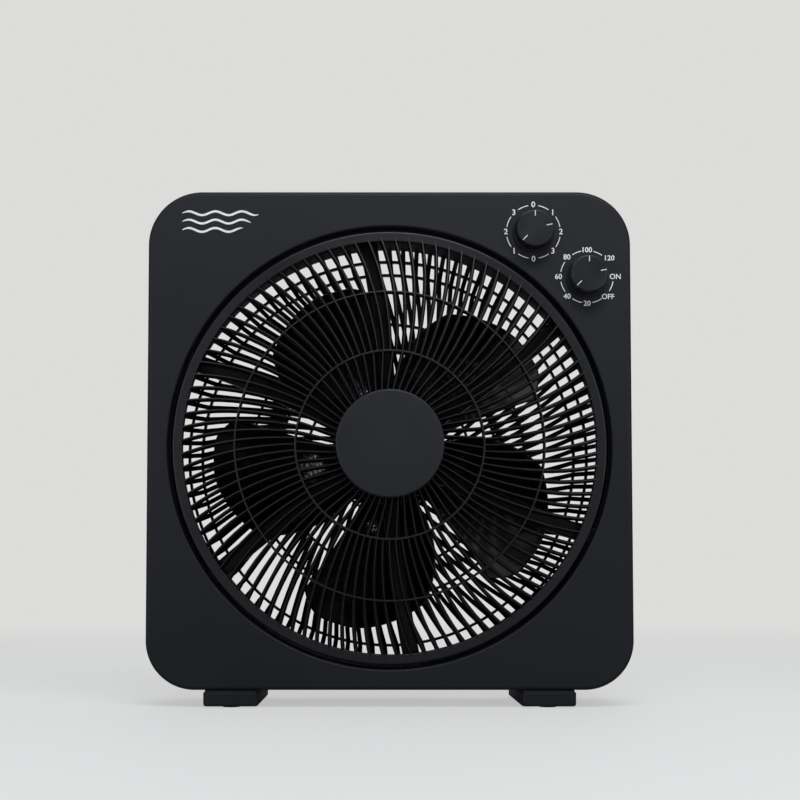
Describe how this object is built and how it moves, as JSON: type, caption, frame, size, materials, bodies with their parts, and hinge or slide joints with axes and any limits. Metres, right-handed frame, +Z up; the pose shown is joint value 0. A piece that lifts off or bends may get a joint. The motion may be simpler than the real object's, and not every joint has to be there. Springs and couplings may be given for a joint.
{
  "type": "box fan",
  "caption": "Square table fan with a rotating round grille, a bladed fan driven by a motor, a speed knob and a timer knob, standing on two feet.",
  "frame": {"origin": "on the ground under the middle of the fan", "axes": "+Z up, +Y from the front face towards the back, +X to the right as seen from the front"},
  "size_m": [0.372, 0.153, 0.3967],
  "materials": {
    "charcoal_plastic": "matt charcoal, fine spark texture",
    "black_plastic": "satin black",
    "blade_plastic": "glossy black",
    "knob_plastic": "satin black with white pointer marks",
    "nylon_white": "natural nylon",
    "pad_rubber": "soft black rubber",
    "screw_steel": "zinc plated",
    "lamination_steel": "stacked laminations",
    "motor_shell": "pressed galvanised steel",
    "copper_wire": "enamelled copper wire",
    "bronze": "sintered bronze"
  },
  "bodies": {
    "housing": {"front_housing": "charcoal_plastic", "rear_housing": "charcoal_plastic", "rear_grille": "black_plastic", "front_spider": "black_plastic", "cord_gland": "black_plastic", "foot_left": "charcoal_plastic", "foot_right": "charcoal_plastic", "foot_left_pad_front": "pad_rubber", "foot_left_pad_rear": "pad_rubber", "foot_right_pad_front": "pad_rubber", "foot_right_pad_rear": "pad_rubber", "foot_left_screw_front": "screw_steel", "foot_left_screw_rear": "screw_steel", "foot_right_screw_front": "screw_steel", "foot_right_screw_rear": "screw_steel", "housing_screw_1": "screw_steel", "housing_screw_2": "screw_steel", "housing_screw_3": "screw_steel", "housing_screw_4": "screw_steel", "rear_grille_screw_1": "screw_steel", "rear_grille_screw_2": "screw_steel", "rear_grille_screw_3": "screw_steel", "rear_grille_screw_4": "screw_steel", "motor_screw_1": "screw_steel", "motor_screw_2": "screw_steel", "motor_screw_3": "screw_steel", "motor_screw_4": "screw_steel", "grille_motor": "motor_shell", "stator_core": "lamination_steel", "front_winding": "copper_wire", "rear_winding": "copper_wire", "motor_front_bell": "motor_shell", "motor_rear_bell": "motor_shell", "front_bearing": "bronze", "rear_bearing": "bronze", "capacitor": "black_plastic", "speed_switch": "nylon_white", "timer_body": "nylon_white", "terminal_block": "nylon_white"},
    "fan": {"fan_blade": "blade_plastic", "blade_nut": "black_plastic", "drive_pin": "screw_steel", "motor_shaft": "screw_steel", "rotor": "lamination_steel"},
    "grille": {"front_grille": "charcoal_plastic", "grille_cap": "charcoal_plastic", "grille_shaft": "screw_steel", "grille_bush": "nylon_white", "grille_screw": "screw_steel"},
    "speed_dial": {"speed_knob": "knob_plastic", "speed_shaft": "nylon_white"},
    "timer_dial": {"timer_knob": "knob_plastic", "timer_shaft": "screw_steel"}
  },
  "joints": [
    {"name": "fan_spin", "type": "hinge", "parent": "housing", "child": "fan", "pos_m": [0, 0, 0.199], "axis": [0, 1, 0], "continuous": true},
    {"name": "grille_spin", "type": "hinge", "parent": "housing", "child": "grille", "pos_m": [0, 0, 0.199], "axis": [0, 1, 0], "continuous": true},
    {"name": "speed_turn", "type": "hinge", "parent": "housing", "child": "speed_dial", "pos_m": [0.111, 0, 0.365], "axis": [0, 1, 0], "continuous": true},
    {"name": "timer_turn", "type": "hinge", "parent": "housing", "child": "timer_dial", "pos_m": [0.152, 0, 0.33], "axis": [0, 1, 0], "range_deg": [-270, 45]}
  ]
}
